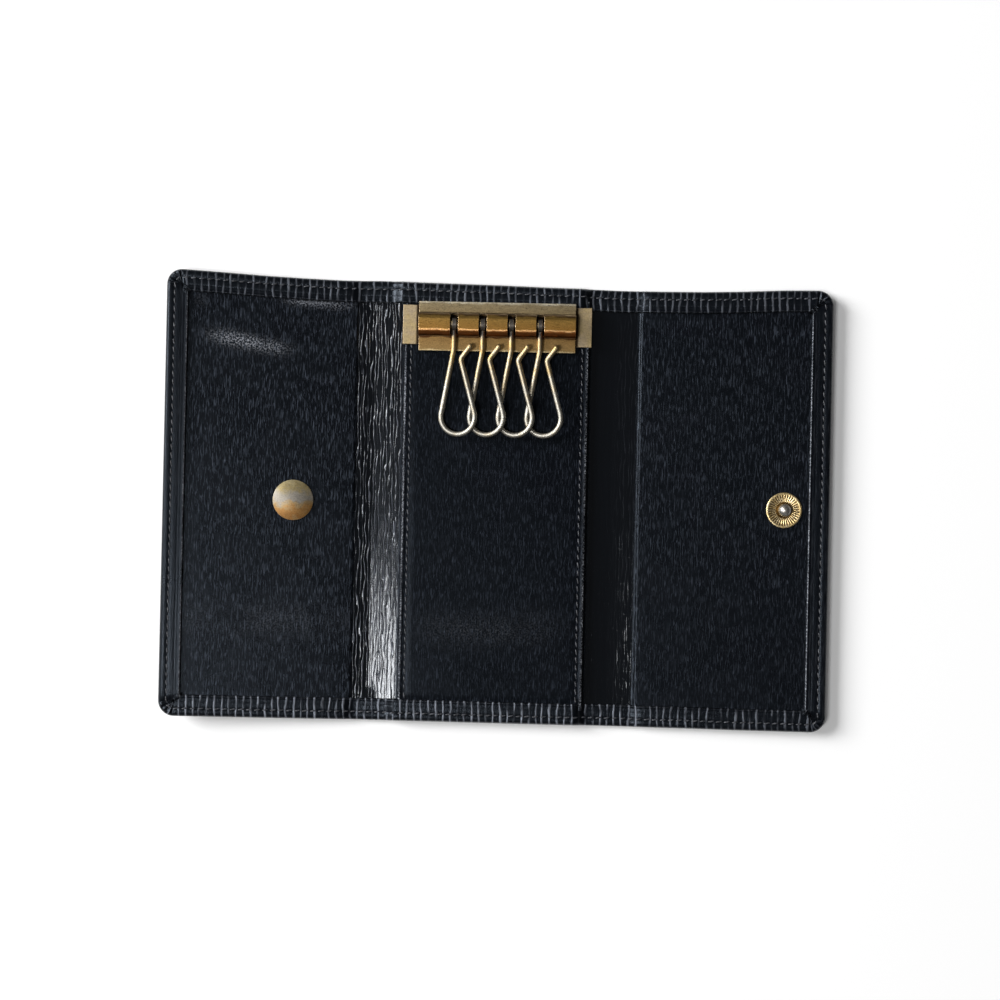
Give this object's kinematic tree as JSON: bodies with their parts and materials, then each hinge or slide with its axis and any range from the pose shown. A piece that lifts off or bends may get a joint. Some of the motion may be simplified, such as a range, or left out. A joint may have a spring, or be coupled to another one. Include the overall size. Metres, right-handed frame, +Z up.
{
  "type": "key case",
  "caption": "leather key holder that folds in three, open flat, with a brass rail of swinging wire hooks on its centre panel and a press fastener on the flaps",
  "frame": {"origin": "on the back of the centre, at the middle of its height, where it lies on a table", "axes": "+X to the right flap, +Y towards the key rail, +Z up from the table"},
  "size_m": [0.1589, 0.105, 0.0072],
  "materials": {
    "outer_leather": "black straight grain leather, semi gloss, ribbed",
    "lining_leather": "black leather lining with a fine wavy grain, satin",
    "board": "bonded fibre board",
    "worn_brass": "worn brass, dulled",
    "nickel": "nickel plated wire, worn and warm"
  },
  "bodies": {
    "centre": {"centre_cover": "outer_leather", "centre_lining": "lining_leather", "key_panel_face": "lining_leather", "key_panel_backing": "lining_leather", "rail_clamp_plate": "worn_brass", "rail_cover": "worn_brass", "hook_rod": "nickel"},
    "left_spine": {"left_spine_cover": "outer_leather", "left_spine_lining": "lining_leather"},
    "left_flap": {"left_flap_cover": "outer_leather", "left_flap_board": "board", "left_flap_lining": "lining_leather", "snap_inner_cap": "worn_brass", "snap_socket": "nickel", "snap_socket_spring": "nickel"},
    "right_spine": {"right_spine_cover": "outer_leather", "right_spine_lining": "lining_leather"},
    "right_flap": {"right_flap_cover": "outer_leather", "right_flap_board": "board", "right_flap_lining": "lining_leather", "snap_stud": "nickel", "snap_stud_base": "worn_brass", "snap_outer_cap": "worn_brass"},
    "hook_1": {"key_hook_1": "nickel"},
    "hook_2": {"key_hook_2": "nickel"},
    "hook_3": {"key_hook_3": "nickel"},
    "hook_4": {"key_hook_4": "nickel"}
  },
  "joints": [
    {"name": "left_spine_fold", "type": "hinge", "parent": "centre", "child": "left_spine", "pos_m": [-0.0263, 0, 0.0013], "axis": [0, 1, 0], "range_deg": [0, 90]},
    {"name": "left_flap_fold", "type": "hinge", "parent": "left_spine", "child": "left_flap", "pos_m": [-0.0339, 0, 0.0013], "axis": [0, 1, 0], "range_deg": [0, 85.82]},
    {"name": "right_spine_fold", "type": "hinge", "parent": "centre", "child": "right_spine", "pos_m": [0.0229, 0, 0.0013], "axis": [0, -1, 0], "range_deg": [0, 90]},
    {"name": "right_flap_fold", "type": "hinge", "parent": "right_spine", "child": "right_flap", "pos_m": [0.034, 0, 0.0013], "axis": [0, -1, 0], "range_deg": [0, 88.63]},
    {"name": "hook_1_swing", "type": "hinge", "parent": "centre", "child": "hook_1", "pos_m": [-0.01065, 0.0424, 0.0055], "axis": [1, 0, 0], "range_deg": [-105, 0]},
    {"name": "hook_2_swing", "type": "hinge", "parent": "centre", "child": "hook_2", "pos_m": [-0.00385, 0.0424, 0.0055], "axis": [1, 0, 0], "range_deg": [-105, 0]},
    {"name": "hook_3_swing", "type": "hinge", "parent": "centre", "child": "hook_3", "pos_m": [0.00295, 0.0424, 0.0055], "axis": [1, 0, 0], "range_deg": [-105, 0]},
    {"name": "hook_4_swing", "type": "hinge", "parent": "centre", "child": "hook_4", "pos_m": [0.00975, 0.0424, 0.0055], "axis": [1, 0, 0], "range_deg": [-105, 0]}
  ]
}
